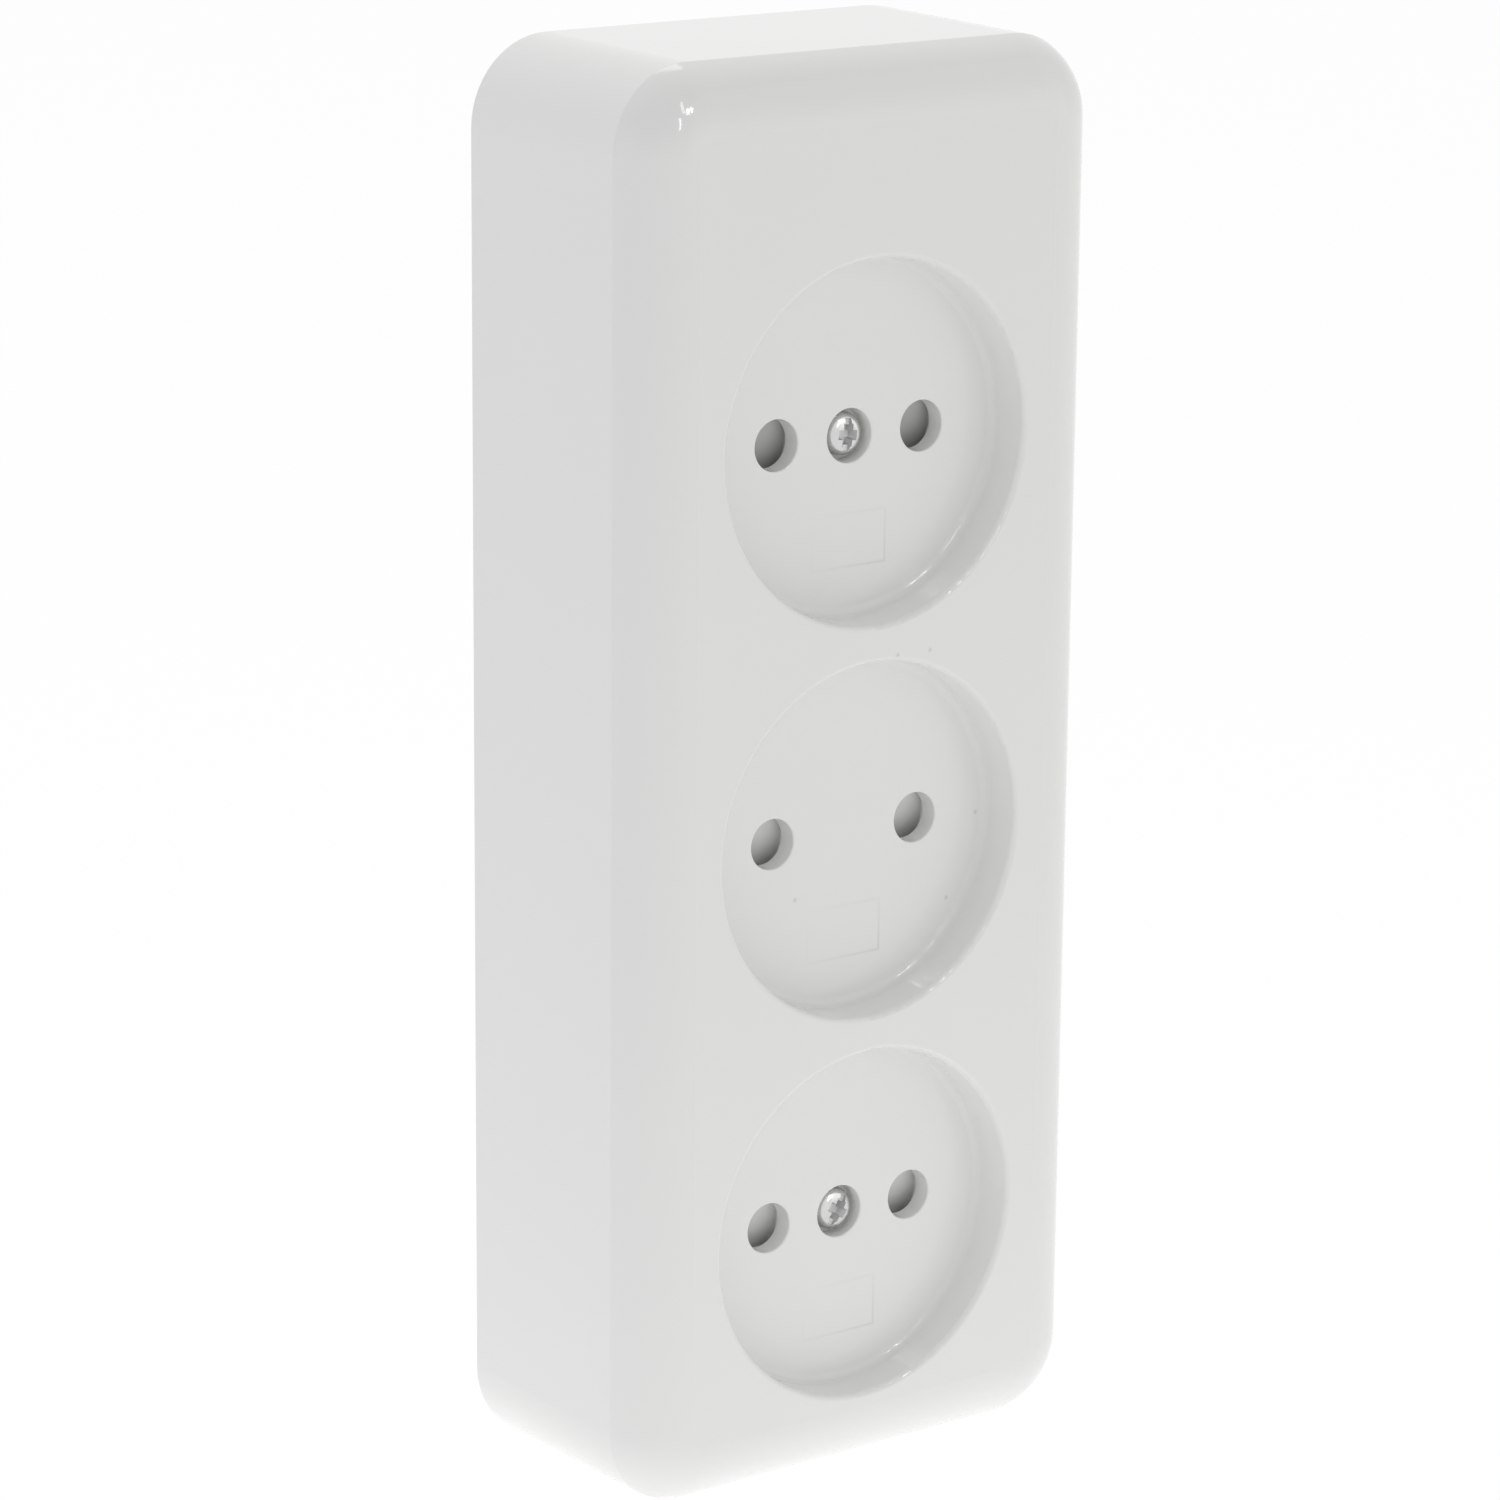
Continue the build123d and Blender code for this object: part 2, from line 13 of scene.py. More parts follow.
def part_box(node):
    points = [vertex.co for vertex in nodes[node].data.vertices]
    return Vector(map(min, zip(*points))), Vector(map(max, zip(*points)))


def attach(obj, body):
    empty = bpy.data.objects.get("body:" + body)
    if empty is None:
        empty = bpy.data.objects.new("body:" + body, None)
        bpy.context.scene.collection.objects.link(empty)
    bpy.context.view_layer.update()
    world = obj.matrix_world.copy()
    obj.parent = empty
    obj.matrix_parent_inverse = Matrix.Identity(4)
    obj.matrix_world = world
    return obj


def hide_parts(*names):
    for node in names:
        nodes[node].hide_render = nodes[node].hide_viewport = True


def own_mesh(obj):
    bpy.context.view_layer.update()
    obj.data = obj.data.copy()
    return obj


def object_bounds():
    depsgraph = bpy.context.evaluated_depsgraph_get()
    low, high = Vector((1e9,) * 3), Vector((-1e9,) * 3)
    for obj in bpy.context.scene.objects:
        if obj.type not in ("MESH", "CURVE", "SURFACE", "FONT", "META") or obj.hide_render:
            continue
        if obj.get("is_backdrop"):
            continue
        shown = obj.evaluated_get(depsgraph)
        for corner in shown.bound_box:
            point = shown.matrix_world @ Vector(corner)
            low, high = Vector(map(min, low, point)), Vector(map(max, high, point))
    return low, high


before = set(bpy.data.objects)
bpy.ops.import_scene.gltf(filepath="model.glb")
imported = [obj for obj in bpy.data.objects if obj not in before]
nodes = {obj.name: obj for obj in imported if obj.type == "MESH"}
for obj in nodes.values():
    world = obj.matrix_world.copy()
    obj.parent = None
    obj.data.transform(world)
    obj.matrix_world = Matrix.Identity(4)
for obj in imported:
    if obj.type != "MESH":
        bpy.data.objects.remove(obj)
cad_low, cad_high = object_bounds()
MM = 0.001
print("nodes", len(nodes), "size", [round((b - a) / MM, 1) for a, b in zip(cad_low, cad_high)])

# %% [markdown]
# The camera comes first, because every later choice is judged through it. It could be moved about until
# the view looks right, but a box with round wells shows every error in its angles. So its place and
# angles come from a fit of the socket's outline, its three rims and its six pin holes. A long lens from
# about half a metre keeps the box nearly free of perspective, as in a catalogue picture.

# %% Camera
CAMERA_PLACE = Vector((-335.09, -460.79, 147.49)) * MM
HEADING, TILT, ROLL = radians(-36.509), radians(90 - 14.77), radians(0.499)
LENS, FILM_WIDTH = 128.77, 36
NEAREST, FARTHEST = 0.01, 50

camera = bpy.data.objects.new("camera", bpy.data.cameras.new("camera"))
bpy.context.scene.collection.objects.link(camera)
turn = Matrix.Rotation(HEADING, 4, "Z") @ Matrix.Rotation(TILT, 4, "X") @ Matrix.Rotation(ROLL, 4, "Z")
camera.matrix_world = Matrix.Translation(CAMERA_PLACE) @ turn
camera.data.lens = LENS
camera.data.sensor_width = FILM_WIDTH
camera.data.clip_start = NEAREST
camera.data.clip_end = FARTHEST
bpy.context.scene.camera = camera
bpy.context.scene.view_settings.view_transform = "Standard"
print("camera", tuple(round(v, 3) for v in camera.location))

# %% [markdown]
# Most pieces below start with the same few moves: deselect everything, add a primitive, work on it, and
# leave its place in the mesh with the object at the origin. The loaded pieces have their places in
# their meshes too, so a pattern that reads an object's coordinates has the same scale on all of them.

# %% Helpers for objects
def clear_selection():
    """Leaves edit mode and selects nothing, because an operator acts on all that is selected."""
    if bpy.context.object and bpy.context.object.mode == "EDIT":
        bpy.ops.object.mode_set(mode="OBJECT")
    bpy.ops.object.select_all(action="DESELECT")


def settle(name):
    """Names the active object and moves its place, turn and size into its mesh."""
    piece = bpy.context.object
    piece.name = name
    piece.data.name = name
    bpy.ops.object.transform_apply(location=True, rotation=True, scale=True)
    return piece


def apply_modifier(piece, kind, **settings):
    """Adds one modifier with these settings and applies it at once."""
    modifier = piece.modifiers.new(kind.lower(), kind)
    for name, value in settings.items():
        setattr(modifier, name, value)
    bpy.context.view_layer.objects.active = piece
    bpy.ops.object.modifier_apply(modifier=modifier.name)


def paint(piece, material):
    """Gives the piece this one material in place of what it has."""
    piece.data.materials.clear()
    piece.data.materials.append(material)


print("object helpers ready")

# %% [markdown]
# A finish is a small node tree that ends in one shader. It could be drawn by hand in the shader editor,
# but the trees here are mostly sums over the object's own coordinates. Written as calls, each such step
# is one line, and a size in it is a real one in millimetres.

# %% Helpers for finishes
GRAIN_RANGE = (0.3, 0.7)  # nearly all of a noise lies between these two


def new_material(name):
    """A new material, its node tree, its one shader, and the object's own coordinates."""
    material = bpy.data.materials.new(name)
    material.use_nodes = True
    tree = material.node_tree
    tree.nodes.clear()
    output = tree.nodes.new("ShaderNodeOutputMaterial")
    shader = tree.nodes.new("ShaderNodeBsdfPrincipled")
    place = tree.nodes.new("ShaderNodeTexCoord")
    tree.links.new(shader.outputs["BSDF"], output.inputs["Surface"])
    return material, tree, shader, place.outputs["Object"]


def compute(tree, operation, *values):
    """One sum. Each value is a number or the output of another node."""
    node = tree.nodes.new("ShaderNodeMath")
    node.operation = operation
    for socket, value in zip(node.inputs, values):
        if isinstance(value, (int, float)):
            socket.default_value = value
        else:
            tree.links.new(value, socket)
    return node.outputs[0]


def distance(tree, place, point):
    """How far each place is from this point, in metres."""
    node = tree.nodes.new("ShaderNodeVectorMath")
    node.operation = "DISTANCE"
    node.inputs[1].default_value = point
    tree.links.new(place, node.inputs[0])
    return node.outputs["Value"]


def noise(tree, place, size_mm, detail=2.0, stretch=(1, 1, 1)):
    """Noise whose grains are about this many millimetres across."""
    scaled = tree.nodes.new("ShaderNodeMapping")
    scaled.inputs["Scale"].default_value = stretch
    grains = tree.nodes.new("ShaderNodeTexNoise")
    grains.inputs["Scale"].default_value = 1 / (size_mm * MM)
    grains.inputs["Detail"].default_value = detail
    tree.links.new(place, scaled.inputs["Vector"])
    tree.links.new(scaled.outputs[0], grains.inputs["Vector"])
    return grains.outputs["Fac"]


def mix_colors(tree, share, first, second):
    """A colour between two others. Each is a triple or the output of another node."""
    node = tree.nodes.new("ShaderNodeMix")
    node.data_type = "RGBA"
    tree.links.new(share, node.inputs["Factor"])
    for socket, value in ((node.inputs[6], first), (node.inputs[7], second)):
        if isinstance(value, tuple):
            socket.default_value = (*value, 1)
        else:
            tree.links.new(value, socket)
    return node.outputs[2]


def rescale(tree, value, low, high, new_low, new_high):
    """Moves a value from one range to another, and holds it there."""
    node = tree.nodes.new("ShaderNodeMapRange")
    tree.links.new(value, node.inputs["Value"])
    for name, number in zip(("From Min", "From Max", "To Min", "To Max"), (low, high, new_low, new_high)):
        node.inputs[name].default_value = number
    return node.outputs["Result"]


def bump(tree, shader, height, depth_mm):
    """Tilts the shading as relief of this depth would, on top of any relief that is there."""
    relief = tree.nodes.new("ShaderNodeBump")
    relief.inputs["Distance"].default_value = depth_mm * MM
    tree.links.new(height, relief.inputs["Height"])
    if shader.inputs["Normal"].links:
        tree.links.new(shader.inputs["Normal"].links[0].from_socket, relief.inputs["Normal"])
    tree.links.new(relief.outputs[0], shader.inputs["Normal"])


def dress(tree, shader, patches, colors, sheen, roughness, relief, depth_mm, metallic=0.0):
    """Three patterns make a finish: one for its two colours, one for its gloss and one for its relief."""
    tree.links.new(mix_colors(tree, patches, *colors), shader.inputs["Base Color"])
    tree.links.new(rescale(tree, sheen, *GRAIN_RANGE, *roughness), shader.inputs["Roughness"])
    shader.inputs["Metallic"].default_value = metallic
    bump(tree, shader, relief, depth_mm)


print("finish helpers ready")

# %% [markdown]
# In the picture the floor and the background are one plain white. More light on them would make them
# white, but would spoil the socket. So the camera, mirrors and glass are shown a white that is simply
# white, while the light still meets a floor and a room of their own.

# %% White for the camera
def show_white(tree, lit, white, share, output):
    """Camera, mirror and glass rays see the white shader by this share. Light meets the lit one."""
    rays = tree.nodes.new("ShaderNodeLightPath")
    seen = compute(tree, "MAXIMUM", rays.outputs["Is Camera Ray"], rays.outputs["Is Glossy Ray"])
    seen = compute(tree, "MAXIMUM", seen, rays.outputs["Is Transmission Ray"])
    mixed = tree.nodes.new("ShaderNodeMixShader")
    tree.links.new(compute(tree, "MULTIPLY", seen, share), mixed.inputs["Fac"])
    tree.links.new(lit, mixed.inputs[1])
    tree.links.new(white, mixed.inputs[2])
    tree.links.new(mixed.outputs[0], output.inputs["Surface"])


print("white can be shown")

# %% [markdown]
# The socket stands on a wide floor. To the camera it is nearly all white, with a little of the lit floor
# left in it for the shadow. To the socket it is a lit table top, brightest close by, which is why the
# socket's lower half is lighter than its upper half. A lamp under the socket could do the same, but
# would show in its gloss.

# %% Floor
FLOOR_SIZE = 12
FLOOR_GREY, FLOOR_ROUGHNESS = 0.50, 0.9
GLOW_NEAR = 0.77
GLOW_FAR = 0.40
GLOW_REACH = 0.12
WHITE_SHARE = 0.93

clear_selection()
bpy.ops.mesh.primitive_plane_add(size=FLOOR_SIZE, location=(0, 0, cad_low.z))
floor = settle("floor")

floor_white, tree, shader, place = new_material("floor_white")
shader.inputs["Base Color"].default_value = (FLOOR_GREY, FLOOR_GREY, FLOOR_GREY, 1)
shader.inputs["Roughness"].default_value = FLOOR_ROUGHNESS
away = distance(tree, place, (0, 0, cad_low.z))
fall = compute(tree, "POWER", 0.5, compute(tree, "DIVIDE", away, GLOW_REACH))
shader.inputs["Emission Color"].default_value = (1, 1, 1, 1)
tree.links.new(rescale(tree, fall, 0, 1, GLOW_FAR, GLOW_NEAR), shader.inputs["Emission Strength"])
plain = tree.nodes.new("ShaderNodeEmission")
plain.inputs["Strength"].default_value = 1.0
output = next(node for node in tree.nodes if node.type == "OUTPUT_MATERIAL")
show_white(tree, shader.outputs["BSDF"], plain.outputs[0], WHITE_SHARE, output)
paint(floor, floor_white)
floor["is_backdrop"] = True
print("floor at", round(cad_low.z, 4))

# %% [markdown]
# White plastic is shaped only by soft differences in the light on it, so most of the light is a white
# tent all round: the world. Three broad lamps add to it. One stands high up behind the socket and
# brightens its top, one is a soft fill in front, and a weak blue one at the left cools the side.

# %% Light
TENT_STRENGTH = 0.57
WHITE_STRENGTH = 1.0
COOL_BLUE = (0.55, 0.55, 1.0)

world = bpy.data.worlds.new("studio")
bpy.context.scene.world = world
world.use_nodes = True
sky = world.node_tree
sky.nodes.clear()
tent = sky.nodes.new("ShaderNodeBackground")
tent.inputs["Strength"].default_value = TENT_STRENGTH
backdrop = sky.nodes.new("ShaderNodeBackground")
backdrop.inputs["Strength"].default_value = WHITE_STRENGTH
for node in (tent, backdrop):
    node.inputs["Color"].default_value = (1, 1, 1, 1)
output = sky.nodes.new("ShaderNodeOutputWorld")
show_white(sky, tent.outputs[0], backdrop.outputs[0], 1, output)


def add_lamp(name, azimuth, elevation, metres_away, width, height, power):
    """A lamp that faces the socket, in degrees, metres and watts. Azimuth 0 is straight in front."""
    side, up = radians(azimuth), radians(elevation)
    away = Vector((sin(side) * cos(up), -cos(side) * cos(up), sin(up)))
    lamp = bpy.data.objects.new(name, bpy.data.lights.new(name, "AREA"))
    lamp.data.shape = "RECTANGLE"
    lamp.data.size = width
    lamp.data.size_y = height
    lamp.data.energy = power
    lamp.location = away * metres_away
    lamp.rotation_mode = "QUATERNION"
    lamp.rotation_quaternion = away.to_track_quat("Z", "Y")
    bpy.context.scene.collection.objects.link(lamp)
    return lamp


add_lamp("back_light", 180, 60, 1.0, 0.9, 0.5, 2.7)
add_lamp("front_fill", 40, 25, 0.7, 0.7, 0.7, 0.42)
side_light = add_lamp("side_light", -80, 15, 1.0, 0.5, 0.5, 0.24)
side_light.data.color = COOL_BLUE

# %% [markdown]
# Gloss shows in small bright marks: one on the upper left corner of the box, and short ones at the foot
# of each well's wall, where the floor and the wall mirror a lamp into each other. Narrow lamps make
# them. Their diffuse light would cast a hard shadow into each well, so it is switched off, and they
# only show as reflections.

# %% Glints
glints = [
    add_lamp("glint_strip_low", -5, 29, 0.9, 0.04, 0.20, 0.24),
    add_lamp("glint_strip_high", 1, 47, 0.9, 0.04, 0.24, 0.20),
    add_lamp("glint_left", 7, 40, 0.9, 0.05, 0.11, 0.36),
    add_lamp("glint_right", 13, 40, 0.9, 0.04, 0.11, 0.28),
]
for lamp in glints:
    lamp.visible_diffuse = False
print("narrow lamps", len(glints))

# %% [markdown]
# The cover is one glossy moulding. In each well, below the pin holes, the mould had a blank insert,
# and its edge has left a faint rectangle that is clearest at the lower right. It is far too shallow to
# be worth cutting into the mesh, so it is a line in the finish. The wells repeat at one pitch, so one
# rectangle is worked out round the nearest well. All lengths here are in millimetres.

# %% Insert outline
WELL_PITCH = 42.8
LOWEST_WELL = -49.0
INSERT_HALF_WIDTH = 4.8
INSERT_HALF_HEIGHT = 2.85
INSERT_DROP = 11.1  # from the middle of the well down to the middle of the insert
INSERT_LINE = 0.22
INSERT_PLANE = -27.0  # only the floors of the wells lie behind this
LEFT_WEIGHT, RIGHT_WEIGHT = 0.10, 0.8
LOW_WEIGHT, HIGH_WEIGHT = 1.0, 0.3

glossy_white_plastic, tree, shader, place = new_material("glossy_white_plastic")
axes = tree.nodes.new("ShaderNodeSeparateXYZ")
tree.links.new(place, axes.inputs[0])
side = compute(tree, "MULTIPLY", axes.outputs["X"], 1 / MM)
height = compute(tree, "MULTIPLY", axes.outputs["Z"], 1 / MM)
from_well = compute(tree, "SUBTRACT", height, LOWEST_WELL)
from_well = compute(tree, "WRAP", from_well, WELL_PITCH / 2, -WELL_PITCH / 2)
beside = compute(tree, "SUBTRACT", compute(tree, "ABSOLUTE", side), INSERT_HALF_WIDTH)
above = compute(tree, "ABSOLUTE", compute(tree, "ADD", from_well, INSERT_DROP))
above = compute(tree, "SUBTRACT", above, INSERT_HALF_HEIGHT)
edge = compute(tree, "ABSOLUTE", compute(tree, "MAXIMUM", beside, above))
insert_line = rescale(tree, edge, 0, INSERT_LINE, 1, 0)
on_floor = compute(tree, "GREATER_THAN", axes.outputs["Y"], INSERT_PLANE * MM)
across = rescale(tree, side, -INSERT_HALF_WIDTH, INSERT_HALF_WIDTH, LEFT_WEIGHT, RIGHT_WEIGHT)
foot, top = -INSERT_DROP - INSERT_HALF_HEIGHT, -INSERT_DROP + INSERT_HALF_HEIGHT
upward = rescale(tree, from_well, foot, top, LOW_WEIGHT, HIGH_WEIGHT)
weight = compute(tree, "MULTIPLY", across, upward)
insert_line = compute(tree, "MULTIPLY", insert_line, compute(tree, "MULTIPLY", on_floor, weight))
print("outline nodes", len(tree.nodes))

# %% [markdown]
# A few specks of dust have settled on the cover. Scattered noise would put them anywhere, so each one
# is a small spot round its own place in the picture.

# %% Specks
SPECKS = [
    (3.0, -30.0, 13.6), (7.3, -30.0, 13.6), (14.0, -25.1, -15.9), (17.8, -25.1, -6.9),
    (-6.5, -25.1, -12.8), (18.0, -25.1, -63.7), (-28.3, -30.0, -61.4), (-28.3, -30.0, -65.8),
]
SPECK_SIZE = 0.34
SPECK_CORE = 0.3

marks = insert_line
for speck in SPECKS:
    from_speck = distance(tree, place, Vector(speck) * MM)
    spot = rescale(tree, from_speck, SPECK_CORE * SPECK_SIZE * MM, SPECK_SIZE * MM, 1, 0)
    marks = compute(tree, "MAXIMUM", marks, spot)
print("specks", len(SPECKS))

# %% [markdown]
# The plastic itself is a very slightly warm white. A single colour would look like a drawing, so the
# white is faintly mottled, and the gloss varies a little. Its relief is a slow waviness, a fine skin
# and the sunk line of the insert, all much too fine to model.

# %% Cover finish
WARM_WHITES = ((0.872, 0.872, 0.855), (0.888, 0.888, 0.871))
GLOSS = (0.07, 0.11)
MARK_SHARE = 0.45
MARK_GREY = (0.55, 0.55, 0.54)
WAVE_DEPTH, SKIN_DEPTH, INSERT_DEPTH = 0.006, 0.0008, 0.03

plastic = mix_colors(tree, noise(tree, place, 18, detail=3), *WARM_WHITES)
marked = mix_colors(tree, compute(tree, "MULTIPLY", marks, MARK_SHARE), plastic, MARK_GREY)
tree.links.new(marked, shader.inputs["Base Color"])
tree.links.new(rescale(tree, noise(tree, place, 7), *GRAIN_RANGE, *GLOSS), shader.inputs["Roughness"])
shader.inputs["IOR"].default_value = 1.49
bump(tree, shader, noise(tree, place, 9, detail=1), WAVE_DEPTH)
bump(tree, shader, noise(tree, place, 0.5), SKIN_DEPTH)
bump(tree, shader, insert_line, -INSERT_DEPTH)
print("cover finish nodes", len(tree.nodes))

# %% [markdown]
# The base and the shutters are matt mouldings of a cheaper white plastic. What tells them from the
# cover is the lack of gloss, the flow marks along the way that the plastic ran, and a slightly eroded
# skin from the mould. The upper shutter gets a greyer copy of the same plastic: painted shade for its
# darker well.

# %% Base and shutter finishes
matt_white_plastic, tree, shader, place = new_material("matt_white_plastic")
dress(
    tree, shader,
    patches=noise(tree, place, 14, detail=4, stretch=(1, 1, 0.35)),
    colors=((0.60, 0.60, 0.585), (0.70, 0.70, 0.685)),
    sheen=noise(tree, place, 3), roughness=(0.42, 0.60),
    relief=noise(tree, place, 0.25, detail=3), depth_mm=0.010,
)


def make_shutter_plastic(name, dark, light):
    """The shutters' plastic, between these two greys."""
    material, tree, shader, place = new_material(name)
    dress(
        tree, shader,
        patches=noise(tree, place, 5, detail=4, stretch=(0.5, 1, 1)),
        colors=((dark, dark, dark - 0.005), (light, light, light - 0.005)),
        sheen=noise(tree, place, 2), roughness=(0.38, 0.55),
        relief=noise(tree, place, 0.25, detail=3), depth_mm=0.008,
    )
    return material


# a greyer copy of the shutters' plastic for the upper shutter: painted shade
shaded_shutter = make_shutter_plastic("shaded_shutter", 0.60, 0.66)
shutter_white = make_shutter_plastic("shutter_white", 0.88, 0.92)
print("plastics ready")

# %% [markdown]
# The metals differ mostly in what has been done to them, so each pattern follows its making. The brass
# is rolled strip, and its fine lines run up the rails. The zinc plating is bright with cloudy patches.
# In the screws' recesses it is rougher and painted darker: painted shade for the shade in the recess.
# The spring steel keeps the drawing lines of its wire.

# %% Metal finishes
rolled_brass, tree, shader, place = new_material("rolled_brass")
rolling_lines = noise(tree, place, 0.4, stretch=(1, 1, 0.06))
dress(
    tree, shader,
    patches=noise(tree, place, 6, detail=5), colors=((0.72, 0.52, 0.22), (0.86, 0.70, 0.38)),
    sheen=rolling_lines, roughness=(0.22, 0.38),
    relief=rolling_lines, depth_mm=0.004, metallic=1.0,
)

bright_zinc, tree, shader, place = new_material("bright_zinc")
clouds = noise(tree, place, 1.2, detail=4)
dress(
    tree, shader,
    patches=clouds, colors=((0.58, 0.58, 0.575), (0.76, 0.76, 0.75)),
    sheen=clouds, roughness=(0.20, 0.32),
    relief=noise(tree, place, 0.3), depth_mm=0.006, metallic=1.0,
)

# darker zinc for the screws' recesses: its darkness is painted shade
shaded_recess_zinc, tree, shader, place = new_material("shaded_recess_zinc")
recess_mottle = noise(tree, place, 0.5, detail=4)
dress(
    tree, shader,
    patches=recess_mottle, colors=((0.50, 0.50, 0.50), (0.68, 0.68, 0.675)),
    sheen=recess_mottle, roughness=(0.32, 0.48),
    relief=noise(tree, place, 0.15), depth_mm=0.006, metallic=1.0,
)

drawn_steel, tree, shader, place = new_material("drawn_steel")
drawing_lines = noise(tree, place, 0.2, stretch=(1, 1, 0.5))
dress(
    tree, shader,
    patches=drawing_lines, colors=((0.48, 0.48, 0.49), (0.62, 0.62, 0.62)),
    sheen=drawing_lines, roughness=(0.24, 0.36),
    relief=drawing_lines, depth_mm=0.003, metallic=1.0,
)
print("metals ready")

# %% [markdown]
# Each loaded piece takes the finish of what it is made of. Its name already says which that is, so the
# table goes by words in the names, and the first word that fits decides.

# %% Paint the loaded pieces
FINISHES = {
    "cover_screw": bright_zinc, "cover_nut": bright_zinc, "terminal": bright_zinc, "clamp": bright_zinc,
    "rail_screws": bright_zinc, "spring": drawn_steel, "ring": drawn_steel, "contact": rolled_brass,
    "rail": rolled_brass, "rivets": rolled_brass, "shutter_top": shaded_shutter, "shutter": shutter_white,
    "cover": glossy_white_plastic, "base": matt_white_plastic,
}

for name, piece in nodes.items():
    paint(piece, next(finish for word, finish in FINISHES.items() if word in name))
used = [piece.active_material.name for piece in nodes.values()]
print({finish: used.count(finish) for finish in sorted(set(used))})

# %% [markdown]
# The return springs are wound from round wire. A bevelled curve would do too, but every point of its
# helix would have to be worked out. Here a small circle, stood on edge beside the axis, is swept up by
# the Screw modifier, and its two ends are closed.

# %% Springs
WIRE_RADIUS = 0.225
WIRE_SIDES = 16
TURNS = 5
STEPS_A_TURN = 40


def wind(outline, rise, turns, steps, smooth):
    """Sweeps an outline beside the Z axis up a helix, by this rise a turn, and closes its ends."""
    corners = len(outline.data.vertices)
    apply_modifier(
        outline, "SCREW", axis="Z", screw_offset=rise, iterations=turns, steps=steps,
        render_steps=steps, use_merge_vertices=False, use_smooth_shade=smooth,
    )
    bpy.ops.object.mode_set(mode="EDIT")
    bpy.ops.mesh.select_all(action="SELECT")
    bpy.ops.mesh.fill_holes(sides=corners)
    bpy.ops.mesh.select_all(action="SELECT")
    bpy.ops.mesh.normals_make_consistent(inside=False)
    bpy.ops.object.mode_set(mode="OBJECT")


for place_name in ("top", "middle", "bottom"):
    low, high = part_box(f"shutter_spring_{place_name}")
    middle = (low + high) / 2
    coil_radius = (high.x - low.x) / 2 - WIRE_RADIUS * MM
    rise = high.z - low.z - 2 * WIRE_RADIUS * MM
    clear_selection()
    bpy.ops.mesh.primitive_circle_add(
        vertices=WIRE_SIDES, radius=WIRE_RADIUS * MM, location=(coil_radius, 0, 0), rotation=(pi / 2, 0, 0)
    )
    spring = settle(f"return_spring_{place_name}")
    wind(spring, rise / TURNS, TURNS, STEPS_A_TURN, smooth=True)
    spring.location = (middle.x, middle.y, low.z + WIRE_RADIUS * MM)
    spring = settle(f"return_spring_{place_name}")
    bpy.ops.object.shade_smooth_by_angle(angle=radians(40))
    paint(spring, drawn_steel)
    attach(spring, "housing")
    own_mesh(spring)
    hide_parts(f"shutter_spring_{place_name}")
    print(spring.name, "faces", len(spring.data.polygons))

# %% [markdown]
# A pan head is flat underneath, straight at its side and domed on top. A squashed ball would have no
# straight side, so the head starts as a cylinder that stands on the origin, and insets raise its top
# into a dome, step by step.

# %% How a screw's head is made
HEAD_SIDES = 64
STRAIGHT_SHARE = 0.35
DOME_STEPS = 7
DOME_WIDTH = 0.55
LAST_STEP = radians(86)
TOP_INSET, TOP_RISE = 0.22, 0.02


def make_head(radius, height):
    """A pan head with its underside at Z = 0: straight low down, then domed."""
    straight = STRAIGHT_SHARE * height
    clear_selection()
    bpy.ops.mesh.primitive_cylinder_add(
        vertices=HEAD_SIDES, radius=radius, depth=straight, location=(0, 0, straight / 2),
        end_fill_type="NGON",
    )
    head = settle("head")
    bpy.ops.object.mode_set(mode="EDIT")
    bpy.ops.mesh.select_mode(type="FACE")
    bpy.ops.mesh.select_all(action="DESELECT")
    bpy.ops.object.mode_set(mode="OBJECT")
    for face in head.data.polygons:  # only the flat top
        face.select = face.center.z > straight - 0.01 * MM and face.normal.z > 0.5
    bpy.ops.object.mode_set(mode="EDIT")
    dome = height - straight
    angles = [pi / 2 * step / DOME_STEPS for step in range(DOME_STEPS)] + [LAST_STEP]
    for before, after in zip(angles, angles[1:]):
        inward = radius * DOME_WIDTH * (cos(before) - cos(after))
        upward = dome * (sin(after) - sin(before))
        bpy.ops.mesh.inset(thickness=inward, depth=upward)
    bpy.ops.mesh.inset(thickness=radius * TOP_INSET, depth=dome * TOP_RISE)
    bpy.ops.object.mode_set(mode="OBJECT")
    return head


print("heads can be made")

# %% [markdown]
# The recess takes both a cross and a flat screwdriver. It could be modelled into the dome's faces, but
# a punch makes the real one, and cutting does the same: two tapered cuts make the cross, and a longer
# and shallower one makes the slot. A fine bevel then softens every edge, as plating does.

# %% How a recess is cut
# Each cut has its length and width in head radii, its depth in head heights, the share of its width
# that is left at its foot, and its turn in degrees.
RECESS_CUTS = ((1.40, 0.70, 0.55, 0.5, 0), (1.36, 0.60, 0.55, 0.5, 90), (1.80, 0.40, 0.22, 0.8, 0))
EDGE_BEVEL = 0.06


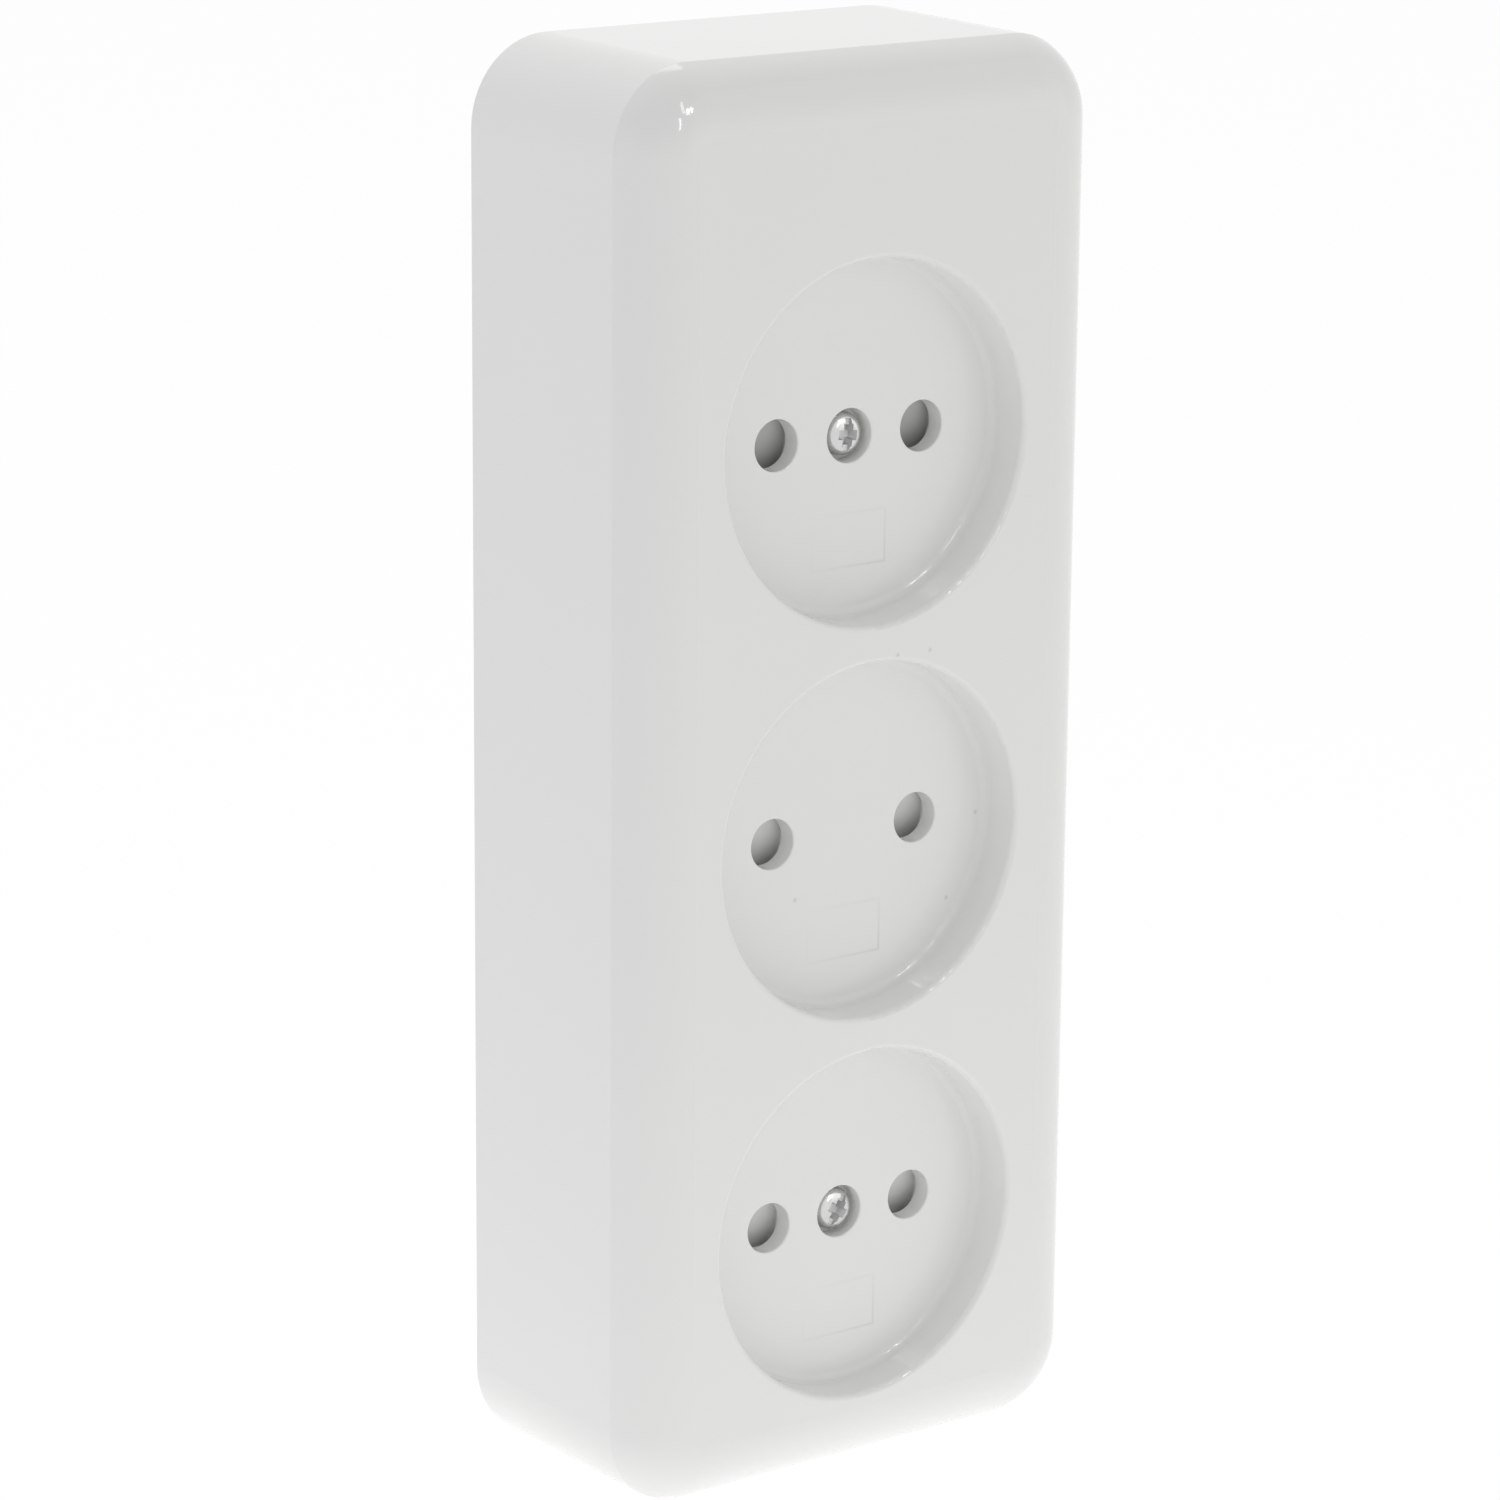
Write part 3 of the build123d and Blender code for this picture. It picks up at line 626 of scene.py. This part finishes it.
def cut_recess(head, radius, height, turn):
    """Cuts the recess into the head, turned by these degrees, and softens its edges."""
    paint(head, bright_zinc)
    for length, width, depth, taper, quarter in RECESS_CUTS:
        clear_selection()
        # a square post, one unit wide, with its middle at the origin
        bpy.ops.mesh.primitive_cylinder_add(vertices=4, radius=sqrt(0.5), depth=2, rotation=(0, 0, pi / 4))
        cutter = settle("cutter")
        for point in cutter.data.vertices:
            if point.co.z < 0:
                point.co = (point.co.x * taper, point.co.y * taper, point.co.z)
        cutter.scale = (length * radius, width * radius, depth * height)
        cutter.location = (0, 0, height)
        cutter.rotation_euler = (0, 0, radians(turn + quarter))
        cutter = settle("cutter")
        # the recess faces take this darker zinc from the cutter: painted shade
        paint(cutter, shaded_recess_zinc)
        apply_modifier(
            head, "BOOLEAN", object=cutter, operation="DIFFERENCE", solver="EXACT", material_mode="TRANSFER"
        )
        bpy.data.objects.remove(cutter)
    apply_modifier(
        head, "BEVEL", width=EDGE_BEVEL * radius, segments=3, limit_method="ANGLE", angle_limit=radians(38)
    )


print("recesses can be cut")

# %% [markdown]
# Below its head, a screw is a plain core with a thread wound round it. The thread is one triangle swept
# up a helix, by the same move as the springs. It overlaps the core instead of being merged with it,
# because both are metal and the seam never shows.

# %% How a whole screw is made
CORE_SIDES = 32
HEAD_OVERLAP = 0.05
THREAD_STEPS = 24
THREAD_RIDGE = 0.12
THREAD_HALF_WIDTH = 0.45
THREAD_START = 0.6
THREAD_SPARE = 1.4


def make_shank(radius, length, pitch):
    """A plain core below Z = 0, with a thread of this pitch wound round it."""
    ridge = THREAD_RIDGE * radius
    core_radius = radius - ridge
    clear_selection()
    bpy.ops.mesh.primitive_cylinder_add(
        vertices=CORE_SIDES, radius=core_radius, depth=length,
        location=(0, 0, -length / 2 + HEAD_OVERLAP * MM),
    )
    core = settle("core")
    clear_selection()
    bpy.ops.mesh.primitive_circle_add(vertices=3, radius=1, rotation=(pi / 2, pi / 2, 0))
    thread = settle("thread")
    half = THREAD_HALF_WIDTH * pitch
    for point, (out, up) in zip(thread.data.vertices, ((ridge, 0), (-ridge, -half), (-ridge, half))):
        point.co = (core_radius + out, 0, up - length + THREAD_START * pitch)
    turns = int((length - THREAD_SPARE * pitch) / pitch)
    wind(thread, pitch, turns, THREAD_STEPS, smooth=False)
    for piece in (core, thread):
        paint(piece, bright_zinc)
    return [core, thread]


def join(pieces, name):
    """Makes the pieces one object with this name."""
    clear_selection()
    for piece in pieces:
        piece.select_set(True)
    bpy.context.view_layer.objects.active = pieces[0]
    bpy.ops.object.join()
    return settle(name)


def make_screw(name, place, radius, height, shank_radius, length, pitch, turn):
    """A whole screw whose head rests on the plane at this place and faces the room."""
    head = make_head(radius, height)
    cut_recess(head, radius, height, turn)
    screw = join([head, *make_shank(shank_radius, length, pitch)], name)
    screw.rotation_euler = (pi / 2, 0, 0)
    screw.location = place
    screw = settle(name)
    bpy.ops.object.shade_smooth_by_angle(angle=radians(35))
    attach(screw, "housing")
    return screw


print("screws can be made")

# %% [markdown]
# The two cover screws are the ones in the picture, so only they are made with this much detail. Their
# recesses stand at different angles, as a screwdriver left them: the upper one nearly upright, the
# lower one turned further.

# %% Cover screws
COVER_HEAD_HEIGHT = 2.0 * MM
SHANK_RADIUS, PITCH = 1.5 * MM, 0.5 * MM

for place_name, turn in (("top", 84), ("bottom", 58)):
    low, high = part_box(f"cover_screw_{place_name}")
    radius = (high.x - low.x) / 2
    seat = low.y + COVER_HEAD_HEIGHT
    middle = (low + high) / 2
    screw = make_screw(
        f"cover_pan_screw_{place_name}", (middle.x, seat, middle.z), radius, COVER_HEAD_HEIGHT,
        SHANK_RADIUS, high.y - seat, PITCH, turn,
    )
    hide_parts(f"cover_screw_{place_name}")
    print(screw.name, "faces", len(screw.data.polygons))

# %% [markdown]
# Last come the sizes, because the finished piece has to fill the same box as the construction. Both
# boxes are printed, so that they can be compared after each picture.

# %% Sizes
low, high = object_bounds()
print("visual size", [round((b - a) / MM, 2) for a, b in zip(low, high)])
